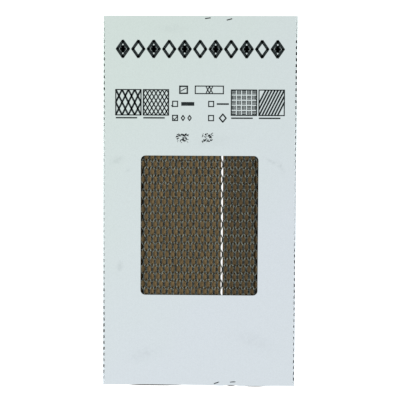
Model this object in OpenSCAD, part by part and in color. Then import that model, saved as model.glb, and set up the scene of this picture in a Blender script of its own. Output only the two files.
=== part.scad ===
// Expanded metal sheet in its corrugated card sleeve.
// The pack lies flat, window up: X across, Y along, Z up, origin under its middle.

/* [Expanded sheet] */
// Width of the sheet, across the short way of its diamonds
sheet_w = 406.4; // [330:0.1:610]
// Length of the sheet, along the long way of its diamonds
sheet_l = 762; // [700:0.1:1220]
// Short way of the diamond, bond centre to bond centre
short_way = 12.7; // [11:0.1:16]
// Long way of the diamond, bond centre to bond centre
long_way = 32.3; // [26:0.05:40]
// Width of each strand
strand_w = 2.44; // [1.8:0.02:3]
// Thickness of the metal
gauge = 2.34; // [1.2:0.02:3]
// Lean of the strands out of the plane of the sheet, in degrees
strand_lean = 54; // [40:1:60]
// Length of each bond along the long way
bond_l = 6; // [4:0.1:9]

/* [Card sleeve] */
// Thickness of the corrugated board
board_t = 3; // [1.5:0.1:6]
// Inside radius of the folds
crease_r = 1.5; // [0.8:0.1:1.9]
// Room beside the sheet, on each side
side_clear = 0.4; // [0.3:0.1:4]
// Room over and under the sheet
face_clear = 0.3; // [0.2:0.05:1]
// How far the sleeve runs past the sheet at each end
end_margin = 16; // [14:0.5:40]
// Width of the gap between the two back flaps
seam_gap = 5; // [2:0.5:15]
// Place of that gap, from the middle of the sleeve
seam_x = 49.5; // [-60:0.5:60]

/* [Window] */
// Width of the window
window_w = 252; // [120:1:320]
// Length of the window
window_l = 300; // [120:1:330]
// Distance from the top end of the sleeve to the window
window_from_top = 298; // [240:0.5:330]
// Radius of the corners of the window
window_r = 10; // [4:0.5:25]

/* [Fold cuts] */
// Length of each cut along the front folds
cut_l = 6.35; // [3:0.05:8]
// Spacing of the cuts along a fold
cut_pitch = 12.7; // [10:0.1:20]
// How wide each cut has opened
cut_w = 1.4; // [0.6:0.1:2]
// Which flat of the fold the cuts go through, counted up from the side of the sleeve
cut_flat = 3; // [2:1:4]

/* [Staples] */
// Width of a staple over its legs
staple_w = 12; // [8:0.5:14]
// Width of the flat staple wire
wire_w = 1.9; // [0.8:0.1:2.4]
// Thickness of the staple wire
wire_t = 0.9; // [0.4:0.05:1.2]
// Inside radius of the bends of a staple
wire_bend = 0.4; // [0.25:0.05:0.8]
// Gap between the two turned-in legs
leg_gap = 3; // [2:0.5:4]
// Clearance of the wire in the board
wire_clear = 0.05; // [0.02:0.01:0.2]

/* [Hidden] */
// Each staple: end of the sleeve (1 top, -1 bottom), place from the back gap, place from that end, turn in degrees
staples = [
    [1, -33.5, 5.2, 8],
    [1, 12.5, 7.7, 15],
    [-1, -10.5, 6.5, 20],
    [-1, 24.5, 8.8, 4]
];
sheet_strips = 4;

$fn = 48;

// Pitch of the strands along and across their lean, rounded so that neighbours meet face to face
round_to = 0.01;
lean_along = round(short_way / 2 * cos(strand_lean) / round_to) * round_to;
lean_across = round(short_way / 2 * sin(strand_lean) / round_to) * round_to;
lean = atan2(lean_across, lean_along);
half_way = long_way / 2;
bond_rows = ceil(sheet_l / 2 / half_way);

strand_pitch = norm([lean_along, lean_across]);
strand_count = round(sheet_w / strand_pitch);
strip_strands = ceil(strand_count / sheet_strips);
sheet_over = strand_count * strand_pitch + gauge * sin(lean);
sheet_h = 2 * strand_w * sin(lean) + gauge * cos(lean);

room_h = round((sheet_h + 2 * face_clear) / round_to) * round_to;
fold_r = crease_r + board_t;
fold_flats = 4;
cut_angle = 90 * (cut_flat - 0.5) / fold_flats;
sleeve_w = sheet_over + 2 * side_clear + 2 * board_t;
sleeve_l = sheet_l + 2 * end_margin;
sleeve_h = room_h + 2 * board_t;
sheet_z = sleeve_h / 2;
past = 1;

// Rectangle with round corners, centred
module rounded(w, h, r) {
    square([w - 2 * r, h], center = true);
    square([w, h - 2 * r], center = true);
    for (x = [-1, 1], y = [-1, 1])
        translate([x * (w / 2 - r), y * (h / 2 - r)]) circle(r);
}

// Rectangle whose corners are turned in the given number of flats, centred, as board folds
module folded(w, h, r, flats) {
    polygon([
        for (corner = [0 : 3], i = [0 : flats])
            let (
                angle = 90 * (corner + i / flats),
                x = corner == 0 || corner == 3 ? 1 : -1,
                y = corner < 2 ? 1 : -1
            )
            [x * (w / 2 - r) + r * cos(angle), y * (h / 2 - r) + r * sin(angle)]
    ]);
}

// Side of the strand that the bond nearest to y is on: 1 right, -1 left
function bond_side(strand, y) = (round(y / half_way) + strand) % 2 == 0 ? 1 : -1;

// Sway of a strand at y, from -1 along its left bonds to 1 along its right bonds
function sway(strand, y) =
    let (off = abs(y - round(y / half_way) * half_way))
    bond_side(strand, y) * (1 - 2 * max(off - bond_l / 2, 0) / (half_way - bond_l));

// Places along the sheet where the strands bend: its ends and both ends of each bond
bend_ys = concat(
    [-sheet_l / 2],
    [
        for (j = [-bond_rows : bond_rows], end = [-1, 1])
            let (y = j * half_way + end * bond_l / 2)
            if (abs(y) < sheet_l / 2) y
    ],
    [sheet_l / 2]
);

// Outline of a zigzag band of the given width, swaying by reach to each side
function band(strand, reach, width) =
    let (last = len(bend_ys) - 1)
    concat(
        [for (y = bend_ys) [reach * sway(strand, y) + width / 2, y]],
        [for (i = [last : -1 : 0]) [reach * sway(strand, bend_ys[i]) - width / 2, bend_ys[i]]]
    );

// One strand: a bar that zigzags both along its lean and across it
module strand(i) {
    place = i - (strand_count - 1) / 2;
    translate([place * lean_along, 0, -place * lean_across])
        intersection() {
            linear_extrude(lean_across + 2 * gauge, center = true)
                polygon(band(i, (lean_along - strand_w) / 2, strand_w));
            rotate([0, 90, 0])
                linear_extrude(lean_along + 2 * strand_w, center = true)
                    polygon(band(i, lean_across / 2, gauge));
        }
}

// One strip of the sheet: strands joined side by side at their bonds
module expanded_strip(n) {
    first = n * strip_strands;
    last = min(first + strip_strands, strand_count) - 1;
    color("dimgray")
        translate([0, 0, sheet_z])
            rotate([0, -lean, 0])
                for (i = [first : last]) strand(i);
}

// Cuts through the board along both front folds, pointing at the middle of the fold
module fold_cuts() {
    rows = floor((sleeve_l / 2 - cut_l) / cut_pitch);
    for (side = [-1, 1], row = [-rows : rows])
        translate([side * (sleeve_w / 2 - fold_r), row * cut_pitch, sleeve_h - fold_r])
            rotate([0, side > 0 ? -cut_angle : cut_angle - 180, 0])
                translate([0, -cut_l / 2, -cut_w / 2])
                    cube([fold_r + past, cut_l, cut_w]);
}

// Wire of a staple: crown, two legs and the turned-in ends, each face moved out by grow
module staple_wire(grow) {
    tall = sleeve_h + wire_t;
    inside = [staple_w - 2 * wire_t - 2 * grow, tall - 2 * wire_t - 2 * grow];
    translate([0, 0, tall / 2])
        rotate([90, 0, 0])
            linear_extrude(wire_w + 2 * grow, center = true)
                difference() {
                    rounded(staple_w + 2 * grow, tall + 2 * grow, wire_bend + wire_t + grow);
                    rounded(inside[0], inside[1], wire_bend - grow);
                    translate([-leg_gap / 2 + grow, -tall])
                        square([leg_gap - 2 * grow, tall]);
                }
}

module staple_place(i) {
    staple = staples[i];
    translate([seam_x + staple[1], staple[0] * (sleeve_l / 2 - staple[2]), 0])
        rotate(staple[3])
            children();
}

// Folded board: a flat tube, open at both ends, with its back flaps a gap apart
module carton_sleeve() {
    color("gainsboro")
        difference() {
            rotate([90, 0, 0])
                linear_extrude(sleeve_l, center = true)
                    difference() {
                        translate([0, sleeve_h / 2])
                            folded(sleeve_w, sleeve_h, fold_r, fold_flats);
                        translate([0, sleeve_h / 2])
                            folded(sleeve_w - 2 * board_t, room_h, crease_r, 1);
                        translate([seam_x - seam_gap / 2, -past])
                            square([seam_gap, board_t + 2 * past]);
                    }
            translate([0, sleeve_l / 2 - window_from_top - window_l / 2, sleeve_h - board_t - past])
                linear_extrude(board_t + 2 * past) rounded(window_w, window_l, window_r);
            fold_cuts();
            for (i = [0 : len(staples) - 1]) staple_place(i) staple_wire(wire_clear);
        }
}

module staple(i) {
    color("silver") staple_place(i) staple_wire(0);
}

carton_sleeve();
for (i = [1 : sheet_strips])
    expanded_strip(i - 1);
for (i = [1 : len(staples)])
    staple(i - 1);
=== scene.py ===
import math

import bpy
import numpy as np
from mathutils import Matrix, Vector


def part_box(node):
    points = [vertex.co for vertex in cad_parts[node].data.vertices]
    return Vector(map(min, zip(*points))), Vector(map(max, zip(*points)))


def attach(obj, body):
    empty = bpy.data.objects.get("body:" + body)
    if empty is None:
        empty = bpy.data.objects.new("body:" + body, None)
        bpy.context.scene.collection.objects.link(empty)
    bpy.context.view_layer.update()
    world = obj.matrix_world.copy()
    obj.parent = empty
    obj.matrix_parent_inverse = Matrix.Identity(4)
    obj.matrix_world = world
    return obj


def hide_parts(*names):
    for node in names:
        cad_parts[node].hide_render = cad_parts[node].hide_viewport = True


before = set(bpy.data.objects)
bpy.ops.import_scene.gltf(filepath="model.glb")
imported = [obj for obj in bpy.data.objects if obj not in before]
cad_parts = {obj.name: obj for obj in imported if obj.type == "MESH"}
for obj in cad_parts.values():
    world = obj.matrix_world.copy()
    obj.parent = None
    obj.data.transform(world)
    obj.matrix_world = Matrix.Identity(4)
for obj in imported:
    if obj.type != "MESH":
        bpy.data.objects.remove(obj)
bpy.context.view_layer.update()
scene = bpy.context.scene
mm = 0.001
flutePitch = 6.5 * mm  # the board's flutes show faintly through its face, and openly at its cut edges
print("frame: %d nodes" % len(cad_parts))


def linear(code):  # sRGB hex to a linear colour
    part = np.array([int(code[i:i + 2], 16) for i in (1, 3, 5)]) / 255
    part = np.where(part <= 0.04045, part / 12.92, ((part + 0.055) / 1.055) ** 2.4)
    return (*part.tolist(), 1.0)


def feed(tree, node, inputs):  # a value or a link for each input of a node
    for name, value in inputs.items():
        if isinstance(value, bpy.types.NodeSocket):
            tree.links.new(value, node.inputs[name])
        else:
            node.inputs[name].default_value = value


# One shader node with its settings and inputs, handing back the output that is used. A colour mix takes its factor
# at input 0 and its two colours at 6 and 7, and hands back output 2.
def addNode(tree, kind, output, inputs=None, **settings):
    node = tree.nodes.new("ShaderNode" + kind)
    for name, value in settings.items():
        setattr(node, name, value)
    feed(tree, node, inputs or {})
    return node.outputs[output]


def newFinish(name):  # an empty material, its node tree and its shader
    finish = bpy.data.materials.new(name)
    finish.use_nodes = True
    return finish, finish.node_tree, finish.node_tree.nodes["Principled BSDF"]


def makePiece(name, points, faces, finish, standsFor=()):
    mesh = bpy.data.meshes.new(name)
    mesh.from_pydata(points.reshape(-1, 3).tolist(), [], faces)
    mesh.materials.append(finish)
    piece = bpy.data.objects.new(name, mesh)
    scene.collection.objects.link(piece)
    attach(piece, "root")
    if standsFor:
        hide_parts(*standsFor)
    return piece


def markPoints(piece, name, values):  # one number for each point, which the piece's material reads
    piece.data.attributes.new(name, "FLOAT", "POINT").data.foreach_set("value", values.ravel().astype(np.float32))


# White-lined board: a pressed paper face, dull and a little cloudy. Its tint is painted light: greener towards
# the top left and bluer towards the bottom right, as the light falls, with the clouds moving that share. The flutes
# under it read as faint stripes, and handling leaves grey rubs where the piece's rub attribute says.
boardLook = {
    "face": "#dce9e4", "bluer": "#e0e8ee", "rubbed": "#8f999d",
    "cloud": 140 * mm, "smear": 9 * mm,
    "fibre": 2.2 * mm,  # fibres are 0.05 mm thick, drawn coarser to show
    "lightTint": (1.25, -1.35, 0.0),  # painted light tint: gain per metre across and along
    "lightTintMid": 0.65, "lightTintDrift": 0.2,  # share at the middle, and how far the clouds move it
    "relief": 0.06 * mm,
}
whiteBoard, tree, shader = newFinish("white_lined_board")
where = addNode(tree, "TexCoord", "Object")
cloud = addNode(tree, "TexNoise", "Fac", {"Vector": where, "Scale": 1 / boardLook["cloud"], "Detail": 3.0})
fibre = addNode(tree, "TexNoise", "Fac", {"Vector": where, "Scale": 1 / boardLook["fibre"], "Detail": 5.0})
smear = addNode(tree, "TexNoise", "Fac", {"Vector": where, "Scale": 1 / boardLook["smear"], "Detail": 4.0})
rub = addNode(tree, "Attribute", "Fac", attribute_name="rub")
# painted light: the face turns bluer towards the bottom and the right, as the light falls
slope = addNode(tree, "VectorMath", "Value", {0: where, 1: boardLook["lightTint"]}, operation="DOT_PRODUCT")
drift = addNode(tree, "MapRange", "Result", {
    "Value": cloud,
    "To Min": boardLook["lightTintMid"] - boardLook["lightTintDrift"],
    "To Max": boardLook["lightTintMid"] + boardLook["lightTintDrift"],
})
lightTint = addNode(tree, "Math", "Value", {0: slope, 1: drift}, operation="ADD", use_clamp=True)
cloudAndLightTint = addNode(tree, "Mix", 2, {
    0: lightTint, 6: linear(boardLook["face"]), 7: linear(boardLook["bluer"]),
}, data_type="RGBA")
fleck = addNode(tree, "MapRange", "Result", {
    "Value": fibre, "From Min": 0.3, "From Max": 0.7, "To Min": 0.965, "To Max": 1.03,
})
speckled = addNode(tree, "Mix", 2, {0: 1.0, 6: cloudAndLightTint, 7: fleck}, data_type="RGBA", blend_type="MULTIPLY")
patchy = addNode(tree, "MapRange", "Result", {
    "Value": smear, "From Min": 0.35, "From Max": 0.65, "To Min": 0.25, "To Max": 1.0,
})
rubbing = addNode(tree, "Math", "Value", {0: rub, 1: patchy}, operation="MULTIPLY", use_clamp=True)
rubbed = addNode(tree, "Mix", 2, {0: rubbing, 6: speckled, 7: linear(boardLook["rubbed"])}, data_type="RGBA")
ridges = addNode(tree, "TexWave", "Fac", {  # the wave node repeats every pi / 10
    "Vector": where, "Scale": math.pi / 10 / flutePitch, "Distortion": 0.0,
}, bands_direction="X")
dents = addNode(tree, "Math", "Value", {0: ridges, 1: 1.6, 2: fibre}, operation="MULTIPLY_ADD")
relief = addNode(tree, "Bump", "Normal", {"Strength": 0.35, "Distance": boardLook["relief"], "Height": dents})
gloss = addNode(tree, "MapRange", "Result", {"Value": smear, "To Min": 0.62, "To Max": 0.78})
feed(tree, shader, {"Base Color": rubbed, "Roughness": gloss, "Normal": relief, "Specular IOR Level": 0.3})

# Kraft liner and fluting: unbleached brown pulp, matt, with long darker fibres and cloudy tone. Where a point
# attribute says, it is mixed towards a near-black brown: painted shade at the open ends and in the fold cuts, and the
# narrower back flap a little darker all over.
kraftLook = {
    "pulp": "#a78d63", "dark": "#715f43", "darkening": "#2b2520", "fibre": 3.0 * mm, "relief": 0.05 * mm,
    "draw": (1.0, 0.25, 1.0),  # fibres lie along the machine direction
}
kraft, tree, shader = newFinish("kraft_paper")
where = addNode(tree, "TexCoord", "Object")
drawn = addNode(tree, "Mapping", "Vector", {"Vector": where, "Scale": kraftLook["draw"]})
fibre = addNode(tree, "TexNoise", "Fac", {
    "Vector": drawn, "Scale": 1 / kraftLook["fibre"], "Detail": 6.0, "Roughness": 0.65,
})
spread = addNode(tree, "MapRange", "Result", {"Value": fibre, "From Min": 0.3, "From Max": 0.7})
tone = addNode(tree, "Mix", 2, {
    0: spread, 6: linear(kraftLook["dark"]), 7: linear(kraftLook["pulp"]),
}, data_type="RGBA")
relief = addNode(tree, "Bump", "Normal", {"Strength": 0.3, "Distance": kraftLook["relief"], "Height": fibre})
# painted shade at the ends and in the fold cuts, and a darker back flap, read from the points
darkenShare = addNode(tree, "Attribute", "Fac", attribute_name="darkening")
darkenedTone = addNode(tree, "Mix", 2, {0: darkenShare, 6: tone, 7: linear(kraftLook["darkening"])}, data_type="RGBA")
feed(tree, shader, {"Base Color": darkenedTone, "Normal": relief, "Roughness": 0.85, "Specular IOR Level": 0.2})

# Hot-rolled carbon steel, slit and stretched: a dark oiled oxide film, patchy, most of it left on the bonds. Where a
# point attribute says, along the stretched strands and torn edges, it has flaked off to streaked grey metal; the same
# attribute also paints light, lighter on the upper-left faces that the stronger left light falls on than on the
# upper-right ones.
steelLook = {
    "film": "#303e41", "filmDark": "#0b1214", "bare": "#bac0b4", "bareDark": "#8a928a",
    "mottle": 3.0 * mm, "streak": 0.6 * mm, "relief": 0.04 * mm,
}
millSteel, tree, shader = newFinish("slit_mill_steel")
where = addNode(tree, "TexCoord", "Object")
bared_and_lit = addNode(tree, "Attribute", "Fac", attribute_name="bared_and_lit")
mottle = addNode(tree, "TexNoise", "Fac", {
    "Vector": where, "Scale": 1 / steelLook["mottle"], "Detail": 5.0, "Roughness": 0.6,
})
streak = addNode(tree, "TexNoise", "Fac", {"Vector": where, "Scale": 1 / steelLook["streak"], "Detail": 3.0})
patches = addNode(tree, "MapRange", "Result", {"Value": mottle, "From Min": 0.42, "From Max": 0.58})
flaking = addNode(tree, "MapRange", "Result", {"Value": patches, "To Min": 0.1, "To Max": 1.3})
film = addNode(tree, "Mix", 2, {
    0: patches, 6: linear(steelLook["filmDark"]), 7: linear(steelLook["film"]),
}, data_type="RGBA")
bare = addNode(tree, "Mix", 2, {
    0: streak, 6: linear(steelLook["bareDark"]), 7: linear(steelLook["bare"]),
}, data_type="RGBA")
flakedAndLit = addNode(tree, "Math", "Value", {0: bared_and_lit, 1: flaking}, operation="MULTIPLY", use_clamp=True)
metal = addNode(tree, "Mix", 2, {0: flakedAndLit, 6: film, 7: bare}, data_type="RGBA")
polish = addNode(tree, "MapRange", "Result", {"Value": flakedAndLit, "To Min": 0.55, "To Max": 0.40})
uneven = addNode(tree, "Math", "Value", {0: mottle, 1: 0.2, 2: polish}, operation="MULTIPLY_ADD")
relief = addNode(tree, "Bump", "Normal", {"Strength": 0.3, "Distance": steelLook["relief"], "Height": streak})
feed(tree, shader, {"Base Color": metal, "Roughness": uneven, "Normal": relief, "Metallic": 0.5})  # half is oxide

# Drawn steel wire with a thin zinc coat: grey, shiny along the wire, with fine die lines and dull patches. Towards the
# top end of the pack it has painted shade, darkened almost black to stand in for darker reflections there.
wireLook = {
    "bright": "#9aa0a3", "dull": "#686f72", "shadeTone": "#16191a",
    "patch": 2.0 * mm, "dieLine": 0.15 * mm, "relief": 0.02 * mm, "draw": (0.08, 1.0, 1.0),
    "shadeFrom": -100 * mm, "shadeTo": 300 * mm,  # painted shade, along the pack
}
stapleWire, tree, shader = newFinish("drawn_staple_wire")
where = addNode(tree, "TexCoord", "Object")
patch = addNode(tree, "TexNoise", "Fac", {"Vector": where, "Scale": 1 / wireLook["patch"], "Detail": 4.0})
along = addNode(tree, "Mapping", "Vector", {"Vector": where, "Scale": wireLook["draw"]})
dieLine = addNode(tree, "TexNoise", "Fac", {"Vector": along, "Scale": 1 / wireLook["dieLine"], "Detail": 2.0})
zinc = addNode(tree, "Mix", 2, {
    0: patch, 6: linear(wireLook["dull"]), 7: linear(wireLook["bright"]),
}, data_type="RGBA")
endwise = addNode(tree, "SeparateXYZ", "Y", {"Vector": where})
# painted shade: the wire darkens from the middle towards the top end of the pack
topShade = addNode(tree, "MapRange", "Result", {
    "Value": endwise, "From Min": wireLook["shadeFrom"], "From Max": wireLook["shadeTo"],
})
tone = addNode(tree, "Mix", 2, {0: topShade, 6: zinc, 7: linear(wireLook["shadeTone"])}, data_type="RGBA")
gloss = addNode(tree, "MapRange", "Result", {"Value": patch, "To Min": 0.42, "To Max": 0.22})
relief = addNode(tree, "Bump", "Normal", {"Strength": 0.25, "Distance": wireLook["relief"], "Height": dieLine})
feed(tree, shader, {"Base Color": tone, "Roughness": gloss, "Normal": relief, "Metallic": 1.0})

# Water-based black printing ink on paper: matt blue-black, thin enough to let the paper through in pinholes.
inkLook = {"ink": "#1a2425", "thin": "#6d7878", "pinhole": 1.6 * mm}
blackInk, tree, shader = newFinish("printed_black_ink")
where = addNode(tree, "TexCoord", "Object")
grain = addNode(tree, "TexNoise", "Fac", {"Vector": where, "Scale": 1 / inkLook["pinhole"], "Detail": 4.0})
holes = addNode(tree, "MapRange", "Result", {"Value": grain, "From Min": 0.58, "From Max": 0.75})
tone = addNode(tree, "Mix", 2, {0: holes, 6: linear(inkLook["ink"]), 7: linear(inkLook["thin"])}, data_type="RGBA")
gloss = addNode(tree, "MapRange", "Result", {"Value": grain, "To Min": 0.5, "To Max": 0.75})
feed(tree, shader, {"Base Color": tone, "Roughness": gloss, "Specular IOR Level": 0.25})
print("materials: board, kraft, steel, wire, ink")

# The sleeve: one blank walked round its section from flap edge to flap edge.
sleeve = {
    "board": 3.0 * mm, "liner": 0.3 * mm, "flute": 0.26 * mm,
    "crush": 0.4,  # height left to the flutes along the narrow sides
    "fold": 4.5 * mm, "seam": 48.6 * mm, "seamGap": 3.9 * mm,
    "window": (252 * mm, 300 * mm), "windowFromTop": 297.4 * mm, "windowRound": 10 * mm,
    "cut": 6.35 * mm, "cutPitch": 12.7 * mm, "cutOpen": 2.8 * mm, "cutRows": 30,
    "cutTurn": (66, 64),  # degrees round the left and the right fold
    # share of that opening along the left and the right fold: y, share
    "cutShares": [
        [(390, 0.25), (290, 0.85), (220, 0.85), (150, 0.35), (60, 0.25), (-90, 0.45),
         (-220, 0.9), (-290, 1.2), (-350, 1.1), (-390, 0.3)],
        [(390, 0.2), (355, 0.4), (340, 1.35), (215, 1.35), (170, 0.6), (110, 0.6), (60, 0.15), (-60, 0.15),
         (-100, 0.7), (-225, 0.95), (-300, 0.65), (-390, 0.8)],
    ],
    "cutLuck": (0.75, 1.15), "cutLimits": (0.1, 1.25),
    # rubs on the front: x, y, half length, half width, turn in degrees, strength
    "rubs": [
        (-177, 89, 11, 6, 20, 0.30), (158, 86, 16, 2.5, -25, 0.30), (176, 74, 12, 2.5, -60, 0.25),
        (-170, -140, 9, 5, 70, 0.30), (-153, 68, 4, 2, 10, 0.35), (-120, -330, 30, 12, 15, 0.12),
        (120, -300, 40, 14, -20, 0.10), (30, 130, 40, 10, 5, 0.10), (-60, 370, 30, 8, 0, 0.10),
    ],
    # how strongly the cut ends and folds get painted shade, and how much darker the narrower back flap is
    "endShade": 0.9, "flapDarkening": 0.38,
    # where the back flaps show past the bottom edge of the front: x, half width, how far
    "flapPast": [(-98, 58, 2.6), (70, 11, 2.3), (121, 27, 3.3)],
    # how far the front edge is cut short at the bottom: x, half width, how far
    "frontShort": [(-185, 30, 0.6), (-98, 60, 1.7), (-10, 40, 1.2), (70, 13, 1.6), (185, 40, 0.9)],
    # grid lines on each flat and each fold, the least gap between two, and how near a line a point is on it
    "flatLines": (25, 2, 98, 2, 20), "foldLines": 8, "gridGap": 0.04 * mm, "near": 0.03 * mm,
}
low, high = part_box("carton_sleeve")
halfWide, halfLong, tall = (high.x - low.x) / 2, (high.y - low.y) / 2, high.z
reach, deep = halfWide - sleeve["fold"], tall - sleeve["fold"]
bend = sleeve["fold"] - sleeve["board"] / 2
flapEdges = sleeve["seam"] - sleeve["seamGap"] / 2, sleeve["seam"] + sleeve["seamGap"] / 2
# flats and folds in turn: left flap, fold, left side, fold, front, fold, right side, fold, right flap
turns = np.radians([270, 270, 180, 180, 90, 90, 0, 0, -90, -90])
middleX = np.array([flapEdges[0], -reach, -reach, -reach, -reach, reach, reach, reach, reach, flapEdges[1]])
middleZ = np.array([sleeve["fold"]] * 3 + [deep] * 4 + [sleeve["fold"]] * 3)
steps = np.hypot(np.diff(middleX), np.diff(middleZ)) + bend * np.abs(np.diff(turns))
walked = np.concatenate([[0], np.cumsum(steps)])
frontMid = (walked[4] + walked[5]) / 2
leftTurn, rightTurn = np.radians(sleeve["cutTurn"])
cutPlaces = walked[3] + bend * leftTurn, walked[6] - bend * rightTurn
cutHalf = sleeve["cutOpen"] / 2 * bend / sleeve["fold"]
cutLuck = np.random.default_rng(11).uniform(*sleeve["cutLuck"], (2, 2 * sleeve["cutRows"] + 1))
windowHalf = sleeve["window"][0] / 2, sleeve["window"][1] / 2
windowMid = halfLong - sleeve["windowFromTop"] - windowHalf[1]


# A point of the board: the centre of the fold circles moves along the flats and waits at the folds while the
# normal turns; the point is that centre plus the normal times the bend radius and its lift off the mid-plane.
def wrapped(s, y, lift):
    turn = np.interp(s, walked, turns)
    x = np.interp(s, walked, middleX) + (bend + lift) * np.cos(turn)
    z = np.interp(s, walked, middleZ) + (bend + lift) * np.sin(turn)
    return np.stack(np.broadcast_arrays(x, y, z), -1)


def bumps(x, shapes):  # sum of soft bumps, each a place, a half width and a height in millimetres
    return sum(height * mm * np.exp(-((x - place * mm) / (half * mm)) ** 4) for place, half, height in shapes)


def gridLines(*groups):  # sorted places, near doubles dropped
    every = np.sort(np.concatenate(groups))
    return every[np.concatenate([[True], np.diff(every) > sleeve["gridGap"]])]


# Cells of the grid that are cut away: the window, and the cuts one by one, or as one slit where they run on.
def cutAway(s, y, oneByOne):
    cellS, cellY = (s[1:, 1:] + s[:-1, :-1]) / 2, (y[1:, 1:] + y[:-1, :-1]) / 2
    gone = (np.abs(cellS - frontMid) < windowHalf[0]) & (np.abs(cellY - windowMid) < windowHalf[1])
    inCut = np.abs(cellY - np.round(cellY / sleeve["cutPitch"]) * sleeve["cutPitch"]) < sleeve["cut"] / 2
    inRows = np.abs(cellY) < (sleeve["cutRows"] + 0.4) * sleeve["cutPitch"]
    for place in cutPlaces:
        gone |= (np.abs(cellS - place) < cutHalf) & ((inCut & inRows) | (not oneByOne))
    return gone


# Grid points on the window's edge near a corner slide on to its arc: an eighth of a turn from each side.
def roundWindow(s, y):
    arc, near = sleeve["windowRound"], sleeve["near"]
    offS, offY = s - frontMid, y - windowMid
    flatS, flatY = windowHalf[0] - arc, windowHalf[1] - arc
    pastS, pastY = np.abs(offS) - flatS, np.abs(offY) - flatY
    corner = (pastS > -near) & (pastY > -near) & (pastS < arc + near) & (pastY < arc + near)
    onSide, onEnd = corner & (np.abs(pastS - arc) < near), corner & (np.abs(pastY - arc) < near)
    swing = np.where(onSide, pastY, 2 * arc - pastS) / arc * math.pi / 4
    moved = onSide | onEnd
    s = np.where(moved, frontMid + np.sign(offS) * (flatS + arc * np.cos(swing)), s)
    y = np.where(moved, windowMid + np.sign(offY) * (flatY + arc * np.sin(swing)), y)
    return s, y


# The edges of each cut slide to its own width: the fold's share there times the cut's luck, within limits.
def openCuts(s, y):
    row = np.clip(np.round(y / sleeve["cutPitch"]).astype(int) + sleeve["cutRows"], 0, 2 * sleeve["cutRows"])
    for place, shares, luck in zip(cutPlaces, sleeve["cutShares"], cutLuck):
        stations = np.array(shares[::-1])
        share = np.interp(y / mm, stations[:, 0], stations[:, 1]) * luck[row]
        opened = cutHalf * np.clip(share, *sleeve["cutLimits"])
        onEdge = np.abs(np.abs(s - place) - cutHalf) < sleeve["near"]
        s = np.where(onEdge, place + np.sign(s - place) * opened, s)
    return s


# The bottom edge is uneven: the front stops short and the back flaps run past it, each by its own bumps.
def trimBottom(s, y):
    x = np.interp(s, walked, middleX)
    front = (s > walked[4] - bend) & (s < walked[5] + bend)
    trim = np.where(front, bumps(x, sleeve["frontShort"]), -bumps(x, sleeve["flapPast"]))
    return np.where(y <= -halfLong + sleeve["near"], y + trim, y)


# A paper layer: a grid of walked length by pack length, wrapped at its lift, without the cells that are cut away.
def paperLayer(name, lengths, ups, lift, thick, finish, oneByOne, backing=None):
    s, y = np.meshgrid(lengths, ups, indexing="ij")
    i, j = np.nonzero(~cutAway(s, y, oneByOne))
    s, y = roundWindow(s, y)
    s = openCuts(s, y)
    y = trimBottom(s, y)
    points = wrapped(s, y, np.reshape(lift, (-1, 1)))
    n = len(ups)
    faces = np.stack([i * n + j, (i + 1) * n + j, (i + 1) * n + j + 1, i * n + j + 1], -1)
    used, faces = np.unique(faces, return_inverse=True)
    points, faces = points.reshape(-1, 3)[used], faces.reshape(-1, 4).tolist()
    piece = makePiece(name, points, faces, finish, ["carton_sleeve"])
    wall = piece.modifiers.new("paper", "SOLIDIFY")
    wall.thickness, wall.offset, wall.use_even_offset = thick, 0.0, True
    if backing:  # the paper is brown through its thickness and on its back
        piece.data.materials.append(backing)
        wall.material_offset = wall.material_offset_rim = 1
    return piece, points


arcSteps = sleeve["windowRound"] * np.array([0, 1 / 3, 2 / 3, 1])
windowLengths = frontMid + np.array([-1, 1])[:, None] * (windowHalf[0] - arcSteps)
windowUps = windowMid + np.array([-1, 1])[:, None] * (windowHalf[1] - arcSteps)
foldLengths = np.concatenate([np.linspace(walked[k], walked[k + 1], sleeve["foldLines"]) for k in (1, 3, 5, 7)])
foldLengths = foldLengths[np.abs(foldLengths[:, None] - cutPlaces).min(1) > 1.3 * cutHalf]  # clear of the cuts
flatLengths = np.concatenate([
    np.linspace(walked[2 * k], walked[2 * k + 1], count) for k, count in enumerate(sleeve["flatLines"])])
cutLengths = np.array([place + side * cutHalf for place in cutPlaces for side in (-1, 0, 1)])
cutMids = np.arange(-sleeve["cutRows"], sleeve["cutRows"] + 1)[:, None] * sleeve["cutPitch"]
cutUps = (cutMids + np.array([-0.5, 0.5]) * sleeve["cut"]).ravel()
ends = np.array([-halfLong, halfLong])
linerLengths = gridLines(flatLengths, foldLengths, cutLengths, windowLengths.ravel())
linerUps = gridLines(cutUps, ends, windowUps.ravel())
linerLift = (sleeve["board"] - sleeve["liner"]) / 2
outerLiner, outerPoints = paperLayer(
    "outer_liner", linerLengths, linerUps, linerLift, sleeve["liner"], whiteBoard, True, kraft)
innerLiner, innerPoints = paperLayer(
    "inner_liner", linerLengths, linerUps, -linerLift, sleeve["liner"], kraft, True)

# fluted sheet between the liners: a sine of the walked length, crushed along the narrow sides
fluteLengths = gridLines(np.arange(0, walked[-1], flutePitch / 8), walked, cutLengths, windowLengths[:, 0])
fluteUps = gridLines(np.linspace(*ends, 6), windowUps.ravel())
pressed = sleeve["crush"]
crush = np.interp(fluteLengths, walked, [1, 1, pressed, pressed, 1, 1, pressed, pressed, 1, 1])
fluteRise = sleeve["board"] / 2 - sleeve["liner"] - sleeve["flute"] / 2
fluteLift = fluteRise * np.sin(2 * math.pi * fluteLengths / flutePitch) * crush
fluting, flutingPoints = paperLayer(
    "fluted_sheet", fluteLengths, fluteUps, fluteLift, sleeve["flute"], kraft, False)

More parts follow.
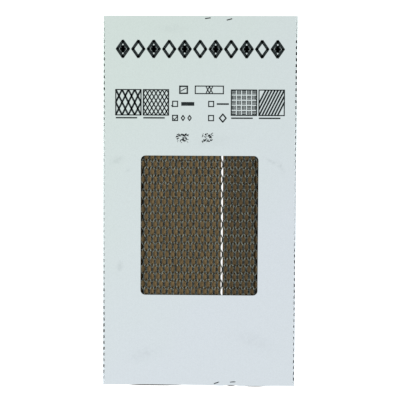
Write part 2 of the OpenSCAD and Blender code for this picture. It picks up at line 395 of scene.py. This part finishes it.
# rubs: turned soft spots on the front face
rubX, rubY, rubLong, rubWide, rubTurn, rubStrength = np.array(sleeve["rubs"]).T
offX, offY = outerPoints[:, :1] / mm - rubX, outerPoints[:, 1:2] / mm - rubY
cosTurn, sinTurn = np.cos(np.radians(rubTurn)), np.sin(np.radians(rubTurn))
alongRub, acrossRub = offX * cosTurn + offY * sinTurn, offY * cosTurn - offX * sinTurn
spots = np.exp(-(alongRub / rubLong) ** 2 - (acrossRub / rubWide) ** 2)
markPoints(outerLiner, "rub", (spots * rubStrength).sum(1) * (outerPoints[:, 2] > tall / 2))

# painted shade at the cut ends and the cut folds, and the narrower back flap darker all over
for piece, points in ((outerLiner, outerPoints), (innerLiner, innerPoints), (fluting, flutingPoints)):
    x, y, z = points.T
    atEnds, atFolds = np.abs(y) > halfLong - mm, (np.abs(x) > reach) & (z > deep)
    onFlap = (x > sleeve["seam"]) & (z < tall / 2)
    darkening = np.where(atEnds | atFolds, sleeve["endShade"], 0.0)
    markPoints(piece, "darkening", np.maximum(darkening, np.where(onFlap, sleeve["flapDarkening"], 0.0)))
print("sleeve: %d by %d liner grid, %d flute lines" % (len(linerLengths), len(linerUps), len(fluteLengths)))

# The expanded sheet, in four strips of strands.
steel = {
    "strips": 4, "strands": 64, "along": 3.73 * mm, "across": 5.14 * mm, "wide": 2.44 * mm, "thick": 2.34 * mm,
    "longWay": 32.3 * mm, "bond": 6.0 * mm, "roundness": 7,
    "edge": 0.3 * mm, "edgeLeast": 0.08,  # edges sharpen into the bonds, to this share
    "sections": (0, 0.14, 0.24, 0.5, 0.76, 0.86),  # shares of the way from one bond to the next
    # bare metal round the section, from its torn edge: where the strand is stretched, and all along it. The shares by
    # side are also painted light: most on the upper-left face, turned to the stronger left light, less on the
    # upper-right
    "bareAndLitSides": (0.4, 0.55, 1.0, 1.0, 0.6, 0.6, 0.6, 0.6),
    "bareEdges": (0.3, 0, 0, 0.12, 0.12, 0.12, 0.12, 0.3),
    "stretch": 2.5, "smoothUnder": 35,
}


# A strand: an eight-sided bar that zigzags along y between its left and right bonds. The zigzag is a triangle wave
# stretched and clipped softly, x over the root of one plus x to a power, and moves the bar along its lean, u, and
# across it, n.
def meshStrip(strip):
    sheetLow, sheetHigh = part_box("expanded_sheet_%d" % (strip + 1))
    half = steel["longWay"] / 2
    rows = math.ceil(sheetHigh.y / half)
    y = (np.arange(-rows, rows)[:, None] * half + np.array(steel["sections"]) * half).ravel()
    inside = (y > sheetLow.y + mm / 2) & (y < sheetHigh.y - mm / 2)
    y = np.concatenate([[sheetLow.y], y[inside], [sheetHigh.y]])
    bars = steel["strands"] // steel["strips"]
    index = np.arange(strip * bars, (strip + 1) * bars)[:, None]
    place = index - (steel["strands"] - 1) / 2
    wave = 1 - 2 * np.abs((y / half + index + 1) % 2 - 1)
    crest, power = half / (half - steel["bond"]), steel["roundness"]
    steep = wave * crest
    sway = steep / (1 + np.abs(steep) ** power) ** (1 / power) * (1 + crest ** power) ** (1 / power) / crest
    u = place * steel["along"] + sway * (steel["along"] - steel["wide"]) / 2
    n = -place * steel["across"] - sway * steel["across"] / 2
    w, g = np.full(sway.shape, steel["wide"] / 2), np.full(sway.shape, steel["thick"] / 2)
    right, left = (
        steel["edge"] * np.clip((1 - side * sway) * 2, steel["edgeLeast"], 1) for side in (1, -1))
    u = u[..., None] + np.stack([w, w, w - right, left - w, -w, -w, left - w, w - right], -1)
    n = n[..., None] + np.stack([right - g, g - right, g, g, g - left, left - g, -g, -g], -1)
    lean = math.atan2(steel["across"], steel["along"])
    x = u * math.cos(lean) - n * math.sin(lean)
    z = (sheetLow.z + sheetHigh.z) / 2 + u * math.sin(lean) + n * math.cos(lean)
    points = np.stack(np.broadcast_arrays(x, y[:, None], z), -1)
    count, sides = len(y), len(steel["bareAndLitSides"])
    bar, row, k = np.meshgrid(np.arange(bars), np.arange(count - 1), np.arange(sides), indexing="ij")
    first, after = (bar * count + row) * sides, (k + 1) % sides
    faces = np.stack([first + k, first + sides + k, first + sides + after, first + after], -1)
    starts = np.arange(bars)[:, None] * count * sides + np.arange(sides)
    stops = starts[:, ::-1] + (count - 1) * sides
    faces = faces.reshape(-1, 4).tolist() + starts.tolist() + stops.tolist()
    piece = makePiece(
        "mesh_strip_%d" % (strip + 1), points, faces, millSteel, ["expanded_sheet_%d" % (strip + 1)])
    pulled = 1 - np.abs(sway[..., None]) ** steel["stretch"]  # none along a bond, most halfway between two
    # bare metal and painted light together: the side shares make the upper-left faces the lightest
    markPoints(piece, "bared_and_lit", pulled * steel["bareAndLitSides"] + steel["bareEdges"])
    piece.data.polygons.foreach_set("use_smooth", np.ones(len(faces), bool))
    piece.data.set_sharp_from_angle(angle=math.radians(steel["smoothUnder"]))
    return len(faces)


print("mesh: %d faces" % sum(meshStrip(strip) for strip in range(steel["strips"])))

for number in range(1, 5):
    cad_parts["staple_%d" % number].material_slots[0].material = stapleWire
print("staples: wire finish")


# The print is straight strokes of ink on the front face, sizes in millimetres: x and y of both ends, width. A stroke
# is a flat bar: both ends of its line moved half its width to each side, at two heights.
def inkStrokes(name, strokes):
    strokes, film = np.asarray(strokes, float), 0.05
    a, b, width = strokes[:, 0:2], strokes[:, 2:4], strokes[:, 4:5]
    ahead = (b - a) / np.linalg.norm(b - a, axis=1, keepdims=True)
    side = np.stack([-ahead[:, 1], ahead[:, 0]], -1) * width / 2
    flat = np.stack([a - side, b - side, b + side, a + side], 1)
    heights = tall / mm - film / 2, tall / mm + film
    points = np.stack([np.concatenate([flat, np.full((*flat.shape[:2], 1), z)], -1) for z in heights], 1)
    base = np.arange(len(strokes))[:, None, None] * 8
    box = np.array([[3, 2, 1, 0], [4, 5, 6, 7], [0, 1, 5, 4], [1, 2, 6, 5], [2, 3, 7, 6], [3, 0, 4, 7]])
    return makePiece(name, points * mm, (base + box).reshape(-1, 4).tolist(), blackInk)


def frameStrokes(x, y, wide, long, width):  # four strokes round a rectangle, corners filled
    a, b, c, d, e = x - wide / 2, x + wide / 2, y - long / 2, y + long / 2, width / 2
    return [(a - e, c, b + e, c, width), (a - e, d, b + e, d, width), (a, c, a, d, width), (b, c, b, d, width)]


def diamondStrokes(x, y, wide, long, width):  # four strokes round a diamond
    a, b, e = wide / 2, long / 2, width / 4
    tips = [(x, y + b), (x + a, y), (x, y - b), (x - a, y)]
    strokes = []
    for (x0, y0), (x1, y1) in zip(tips, tips[1:] + tips[:1]):
        moreX, moreY = e * (x1 - x0) / math.hypot(a, b), e * (y1 - y0) / math.hypot(a, b)
        strokes.append((x0 - moreX, y0 - moreY, x1 + moreX, y1 + moreY, width))
    return strokes


def latticeStrokes(x, y, size, columns, rows, width):  # a net of diamonds: each cell holds one diagonal
    i, j = (k.ravel() for k in np.meshgrid(np.arange(columns), np.arange(rows), indexing="ij"))
    x0, y0 = x - size / 2 + i * size / columns, y - size / 2 + j * size / rows
    x1, y1, up = x0 + size / columns, y0 + size / rows, (i + j) % 2 == 0
    return np.stack([x0, np.where(up, y0, y1), x1, np.where(up, y1, y0), np.full(len(i), width)], -1).tolist()


# a row of diamonds, every other one with a solid core
band = {"count": 11, "pitch": 33.0, "y": 326.5, "size": (24.0, 34.0), "stroke": 6.2, "core": (7.0, 11.0)}
bandXs = [(k - (band["count"] - 1) / 2) * band["pitch"] for k in range(band["count"])]
bandStrokes = [stroke for x in bandXs for stroke in diamondStrokes(x, band["y"], *band["size"], band["stroke"])]
for x in bandXs[::2]:
    bandStrokes += diamondStrokes(x, band["y"], *band["core"], band["core"][0])
inkStrokes("ink_diamond_band", bandStrokes)

# four hatched squares, each with a rule under it: two nets, a basket weave and slanted bars
swatch = {
    "xs": (-153, -94, 94, 153), "y": 213.0, "size": 54.0, "stroke": 2.4,
    "ruleDrop": 6, "ruleShort": 8, "rule": 3.0,
    "nets": ((8, 4, 4.0), (12, 7, 2.6)),  # columns, rows, stroke
    "weave": 5, "weaveBars": (-3, 0, 3), "weaveHalf": 4.4, "weaveStroke": 2.2,
    "slants": 9, "slantPitch": 6.6, "slantStroke": 3.6,
}
at, size = swatch["y"], swatch["size"]
swatchStrokes = [stroke for x in swatch["xs"] for stroke in frameStrokes(x, at, size, size, swatch["stroke"])]
ruleY = at - size / 2 - swatch["ruleDrop"]
for x in swatch["xs"]:
    swatchStrokes.append((x - size / 2, ruleY, x + size / 2 - swatch["ruleShort"], ruleY, swatch["rule"]))
for x, net in zip(swatch["xs"], swatch["nets"]):
    swatchStrokes += latticeStrokes(x, at, size, *net)
for cell in range(swatch["weave"] ** 2):  # three bars a cell, turned in every other one
    i, j = divmod(cell, swatch["weave"])
    x = swatch["xs"][2] + (i - (swatch["weave"] - 1) / 2) * size / swatch["weave"]
    y = at + (j - (swatch["weave"] - 1) / 2) * size / swatch["weave"]
    half, line = swatch["weaveHalf"], swatch["weaveStroke"]
    for k in swatch["weaveBars"]:
        upright, level = (x + k, y - half, x + k, y + half, line), (x - half, y + k, x + half, y + k, line)
        swatchStrokes.append(upright if (i + j) % 2 else level)
for k in range(swatch["slants"]):  # each rises two for one, stopped at the square's sides
    x, off = swatch["xs"][3], (k - (swatch["slants"] - 1) / 2) * swatch["slantPitch"]
    x0, x1 = max(-size / 2, off - size / 4), min(size / 2, off + size / 4)
    swatchStrokes.append((x + x0, at + (x0 - off) * 2, x + x1, at + (x1 - off) * 2, swatch["slantStroke"]))
inkStrokes("ink_swatches", swatchStrokes)

# tick boxes, each with a plain sign: a sheet, a thick and a thin bar, two fine diamonds and a coarse one
ticks = {
    "frames": [(-35, 240, 16, 15, 3.2), (20, 240, 60, 16, 2.4)],  # x, y, width, height, stroke
    "sheetNet": (20, 240, 14, 4, 2, 2.2),  # x, y, size, columns, rows, stroke
    "boxes": [(-53, 210), (24, 210), (-53, 180), (24, 180)], "boxSize": (10.5, 11, 2.4),
    "marks": [(-41, 237, -36, 240, 2.0), (-36, 240, -29, 244, 2.0), (-57, 179, -54, 176, 2.0),
              (-54, 176, -48, 184, 2.0), (-61, 207, -58, 203, 2.0)],
    "bars": [(-40, 210, -12, 210, 8.0), (36, 210, 62, 210, 3.5)],
    "diamonds": [(-36, 180, 7, 11, 2.4), (-22, 180, 7, 11, 2.4), (49, 180, 14, 17, 3.0)],
}
tickStrokes = latticeStrokes(*ticks["sheetNet"]) + ticks["marks"] + ticks["bars"]
for place in ticks["frames"] + [(x, y, *ticks["boxSize"]) for x, y in ticks["boxes"]]:
    tickStrokes += frameStrokes(*place)
for place in ticks["diamonds"]:
    tickStrokes += diamondStrokes(*place)
inkStrokes("ink_tick_boxes", tickStrokes)

# a smeared stamp: short slanted dashes, kept only in two patches
stamp = {
    "dashes": 145, "patches": [(-40, 13), (15, 11)],  # patches: x, half width
    "least": (-52, 129, 2.0, -0.9, 0.8), "most": (24, 147, 6.0, 0.9, 2.4),  # x, y, length, slant in radians, width
}
dashes = np.random.default_rng(7).uniform(stamp["least"], stamp["most"], (stamp["dashes"], 5))
dashes = dashes[np.any([np.abs(dashes[:, 0] - x) < half for x, half in stamp["patches"]], axis=0)]
x, y, length, slant, width = dashes.T
inkStrokes("ink_smeared_stamp", np.stack([x, y, x + length * np.cos(slant), y + length * np.sin(slant), width], -1))
print("print: %d strokes" % (len(bandStrokes) + len(swatchStrokes) + len(tickStrokes) + len(dashes)))

# Floor, light and camera.
studio = {
    "floorTone": "#c8caca", "floorGlow": 1.0, "floorReach": 6, "floorDrop": 0.3 * mm,
    "dome": 0.16, "domeTint": (0.97, 1.0, 1.0, 1.0),
    "softboxes": [(-4.8, -0.6, 4.4, 271), (4.8, -0.6, 4.4, 206)], "softboxSize": 1.6,  # x, y, z, watts
}
paper, tree, shader = newFinish("white_paper_sweep")
feed(tree, shader, {
    "Base Color": linear(studio["floorTone"]), "Roughness": 0.9,
    "Emission Color": (1, 1, 1, 1), "Emission Strength": studio["floorGlow"],
})
floorMesh = bpy.data.meshes.new("floor")
corners = np.array([(-1, -1, 0), (1, -1, 0), (1, 1, 0), (-1, 1, 0)]) * studio["floorReach"]
floorMesh.from_pydata((corners - (0, 0, studio["floorDrop"])).tolist(), [], [(0, 1, 2, 3)])
floorMesh.materials.append(paper)
floor = bpy.data.objects.new("floor", floorMesh)
scene.collection.objects.link(floor)

world = bpy.data.worlds.new("dome")
world.use_nodes = True
feed(world.node_tree, world.node_tree.nodes["Background"], {
    "Color": studio["domeTint"], "Strength": studio["dome"],
})
scene.world = world
for *place, watts in studio["softboxes"]:  # one soft light from each side
    lamp = bpy.data.lights.new("softbox", "AREA")
    lamp.energy, lamp.size = watts, studio["softboxSize"]
    softbox = bpy.data.objects.new("softbox", lamp)
    softbox.location = place
    softbox.rotation_euler = (-softbox.location).to_track_quat("-Z", "Y").to_euler()
    scene.collection.objects.link(softbox)

# straight down, the pack's top end up in the picture, leaning and turned a degree or two as the photo is
shot = {
    "lens": 85.0, "sensor": 36.0, "away": 2.0375, "aim": (1.08 * mm, 4.21 * mm, 0.0),
    "turns": ((1.037, "Y"), (-2.385, "X"), (0.307, "Z")),  # degrees to the side, leaning, rolling
}
camera = bpy.data.objects.new("camera", bpy.data.cameras.new("camera"))
camera.data.lens, camera.data.sensor_width = shot["lens"], shot["sensor"]
facing = Matrix.Translation(shot["aim"])
for degrees, axis in shot["turns"]:
    facing = facing @ Matrix.Rotation(math.radians(degrees), 4, axis)
camera.matrix_world = facing @ Matrix.Translation((0, 0, shot["away"]))
scene.collection.objects.link(camera)
scene.camera = camera
scene.view_settings.view_transform = "Standard"
print("stage: floor, light and camera")
